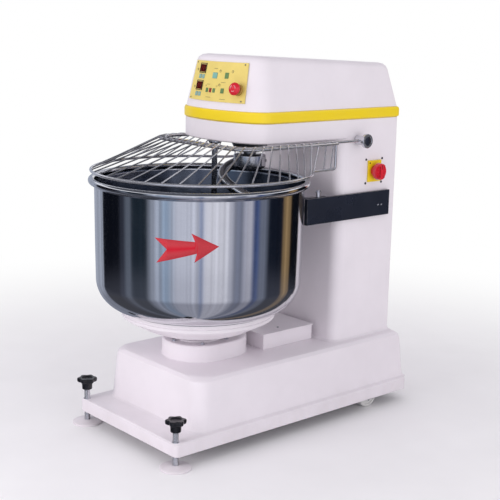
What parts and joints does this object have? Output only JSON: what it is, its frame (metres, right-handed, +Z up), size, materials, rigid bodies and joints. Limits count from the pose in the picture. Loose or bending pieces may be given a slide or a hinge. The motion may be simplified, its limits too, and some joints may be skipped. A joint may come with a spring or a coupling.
{
  "type": "spiral dough mixer",
  "caption": "Floor-standing bakery spiral dough mixer: polished turning bowl, spiral hook under a hooded head, lifting wire guard, control panel.",
  "frame": {"origin": "on the floor, at the middle of the machine's footprint box", "axes": "+Z is up; the bowl and the control panel are on the -Y side and the column on the +Y side; +X is to the right for someone who stands in front of the bowl and faces the panel"},
  "size_m": [0.8572, 1.3387, 1.4645],
  "materials": {
    "body_white": "gloss stove enamel",
    "band_yellow": "satin",
    "panel_yellow": "matt overlay film",
    "stainless": "polished stainless steel",
    "chrome": "bright plated",
    "steel": "machined",
    "cast": "painted casting",
    "arm_black": "satin blue-black",
    "black_plastic": "moulded",
    "rubber": "matt",
    "roller_white": "nylon",
    "display": "dark red window",
    "red": "moulded",
    "key_pale": "matt",
    "key_teal": "matt",
    "key_green": "matt",
    "key_red": "matt"
  },
  "bodies": {
    "root": {"base_shell": "body_white", "column_shell": "body_white", "column_rear_panel": "body_white", "hood": "body_white", "bowl_bearing_housing": "body_white", "base_top_plate": "body_white", "trim_band": "band_yellow", "e_stop_collar": "band_yellow", "main_switch_plate": "band_yellow", "control_panel": "panel_yellow", "breaker_bar": "stainless", "roller_lever_right": "chrome", "roller_lever_left": "chrome", "spiral_bearing_housing": "steel", "guard_shaft": "steel", "rear_axle": "steel", "bowl_motor": "cast", "spiral_motor": "cast", "side_arm_right": "arm_black", "side_arm_left": "arm_black", "cable_gland": "black_plastic", "electrical_box": "black_plastic", "bowl_belt": "rubber", "spiral_belt": "rubber", "display_upper": "display", "display_lower": "display"},
    "bowl": {"bowl_shell": "stainless", "bowl_pan": "body_white", "bowl_shaft": "steel", "bowl_pulley": "cast"},
    "spiral": {"spiral_hook": "stainless", "spiral_shaft": "steel", "spiral_pulley": "cast"},
    "spiral_motor_rotor": {"spiral_motor_pulley": "cast"},
    "bowl_motor_rotor": {"bowl_motor_pulley": "cast"},
    "guard": {"guard_grille": "chrome"},
    "roller_right": {"guide_roller_right": "roller_white"},
    "roller_left": {"guide_roller_left": "roller_white"},
    "wheel_right": {"rear_wheel_right": "roller_white"},
    "wheel_left": {"rear_wheel_left": "roller_white"},
    "pad_right": {"foot_pad_right": "body_white"},
    "pad_left": {"foot_pad_left": "body_white"},
    "screw_right": {"foot_screw_right": "chrome", "foot_knob_right": "black_plastic"},
    "screw_left": {"foot_screw_left": "chrome", "foot_knob_left": "black_plastic"},
    "e_stop_slider": {"e_stop_stem": "steel"},
    "e_stop_head": {"e_stop_cap": "red"},
    "switch_knob": {"main_switch_knob": "red"},
    "key_speed1_less_body": {"key_speed1_less": "key_pale"},
    "key_speed1_more_body": {"key_speed1_more": "key_pale"},
    "key_speed2_less_body": {"key_speed2_less": "key_pale"},
    "key_speed2_more_body": {"key_speed2_more": "key_pale"},
    "key_mode_body": {"key_mode": "key_teal"},
    "key_start_body": {"key_start": "key_green"},
    "key_bowl_left_body": {"key_bowl_left": "key_green"},
    "key_bowl_stop_body": {"key_bowl_stop": "key_red"},
    "key_bowl_right_body": {"key_bowl_right": "key_green"},
    "key_jog_body": {"key_jog": "key_green"}
  },
  "joints": [
    {"name": "bowl_spin", "type": "hinge", "parent": "root", "child": "bowl", "pos_m": [0, -0.2385, 0.7], "axis": [0, 0, 1], "continuous": true},
    {"name": "spiral_spin", "type": "hinge", "parent": "root", "child": "spiral", "pos_m": [0, 0.0115, 1.1], "axis": [0, 0, 1], "continuous": true},
    {"name": "spiral_motor_spin", "type": "hinge", "parent": "root", "child": "spiral_motor_rotor", "pos_m": [0, 0.4615, 1.245], "axis": [0, 0, 1], "continuous": true},
    {"name": "bowl_motor_spin", "type": "hinge", "parent": "root", "child": "bowl_motor_rotor", "pos_m": [0, 0.4415, 0.14], "axis": [0, 0, 1], "continuous": true},
    {"name": "guard_lift", "type": "hinge", "parent": "root", "child": "guard", "pos_m": [0, 0.3715, 1.135], "axis": [-1, 0, 0], "range_deg": [0, 75]},
    {"name": "guide_roller_right_spin", "type": "hinge", "parent": "root", "child": "roller_right", "pos_m": [0.205, 0.1485, 0.871], "axis": [0, 0, 1], "continuous": true},
    {"name": "rear_wheel_right_spin", "type": "hinge", "parent": "root", "child": "wheel_right", "pos_m": [0.267, 0.4615, 0.05], "axis": [1, 0, 0], "continuous": true},
    {"name": "foot_right_lower", "type": "slide", "parent": "root", "child": "pad_right", "axis": [0, 0, -1], "range_m": [0, 0.03]},
    {"name": "foot_right_turn", "type": "hinge", "parent": "pad_right", "child": "screw_right", "pos_m": [0.292, -0.5685, 0.1], "axis": [0, 0, -1], "range_deg": [0, 4300]},
    {"name": "guide_roller_left_spin", "type": "hinge", "parent": "root", "child": "roller_left", "pos_m": [-0.205, 0.1485, 0.871], "axis": [0, 0, 1], "continuous": true},
    {"name": "rear_wheel_left_spin", "type": "hinge", "parent": "root", "child": "wheel_left", "pos_m": [-0.267, 0.4615, 0.05], "axis": [1, 0, 0], "continuous": true},
    {"name": "foot_left_lower", "type": "slide", "parent": "root", "child": "pad_left", "axis": [0, 0, -1], "range_m": [0, 0.03]},
    {"name": "foot_left_turn", "type": "hinge", "parent": "pad_left", "child": "screw_left", "pos_m": [-0.292, -0.5685, 0.1], "axis": [0, 0, -1], "range_deg": [0, 4300]},
    {"name": "e_stop_press", "type": "slide", "parent": "root", "child": "e_stop_slider", "axis": [-0.2457, 0.9452, -0.2149], "range_m": [0, 0.004], "stiffness_N_per_m": 300},
    {"name": "e_stop_twist", "type": "hinge", "parent": "e_stop_slider", "child": "e_stop_head", "pos_m": [0.13, -0.16536, 1.338], "axis": [0.2457, -0.9452, 0.2149], "range_deg": [-45, 0], "stiffness_Nm_per_rad": 0.2},
    {"name": "main_switch_turn", "type": "hinge", "parent": "root", "child": "switch_knob", "pos_m": [0.26, 0.477, 1.003], "axis": [1, 0, 0], "range_deg": [0, 90]},
    {"name": "key_speed1_less_press", "type": "slide", "parent": "root", "child": "key_speed1_less_body", "axis": [0.1896, 0.9574, -0.2177], "range_m": [0, 0.001], "stiffness_N_per_m": 200},
    {"name": "key_speed1_more_press", "type": "slide", "parent": "root", "child": "key_speed1_more_body", "axis": [0.1466, 0.9646, -0.2193], "range_m": [0, 0.001], "stiffness_N_per_m": 200},
    {"name": "key_speed2_less_press", "type": "slide", "parent": "root", "child": "key_speed2_less_body", "axis": [0.2006, 0.9553, -0.2172], "range_m": [0, 0.001], "stiffness_N_per_m": 200},
    {"name": "key_speed2_more_press", "type": "slide", "parent": "root", "child": "key_speed2_more_body", "axis": [0.1579, 0.9629, -0.2189], "range_m": [0, 0.001], "stiffness_N_per_m": 200},
    {"name": "key_mode_press", "type": "slide", "parent": "root", "child": "key_mode_body", "axis": [0, 0.9751, -0.2217], "range_m": [0, 0.001], "stiffness_N_per_m": 200},
    {"name": "key_start_press", "type": "slide", "parent": "root", "child": "key_start_body", "axis": [-0.1239, 0.9676, -0.22], "range_m": [0, 0.001], "stiffness_N_per_m": 200},
    {"name": "key_bowl_left_press", "type": "slide", "parent": "root", "child": "key_bowl_left_body", "axis": [0.0662, 0.973, -0.2212], "range_m": [0, 0.001], "stiffness_N_per_m": 200},
    {"name": "key_bowl_stop_press", "type": "slide", "parent": "root", "child": "key_bowl_stop_body", "axis": [0.0253, 0.9748, -0.2216], "range_m": [0, 0.001], "stiffness_N_per_m": 200},
    {"name": "key_bowl_right_press", "type": "slide", "parent": "root", "child": "key_bowl_right_body", "axis": [-0.0156, 0.975, -0.2217], "range_m": [0, 0.001], "stiffness_N_per_m": 200},
    {"name": "key_jog_press", "type": "slide", "parent": "root", "child": "key_jog_body", "axis": [-0.1047, 0.9697, -0.2205], "range_m": [0, 0.001], "stiffness_N_per_m": 200}
  ],
  "couplings": [
    {"joint": "spiral_motor_spin", "follows": "spiral_spin", "ratio": 3.3333},
    {"joint": "bowl_motor_spin", "follows": "bowl_spin", "ratio": 4.75},
    {"joint": "foot_right_lower", "follows": "foot_right_turn", "m_per_rad": 0.00039789},
    {"joint": "foot_left_lower", "follows": "foot_left_turn", "m_per_rad": 0.00039789},
    {"joint": "guide_roller_right_spin", "follows": "bowl_spin", "ratio": -11.823},
    {"joint": "guide_roller_left_spin", "follows": "bowl_spin", "ratio": -11.823}
  ]
}
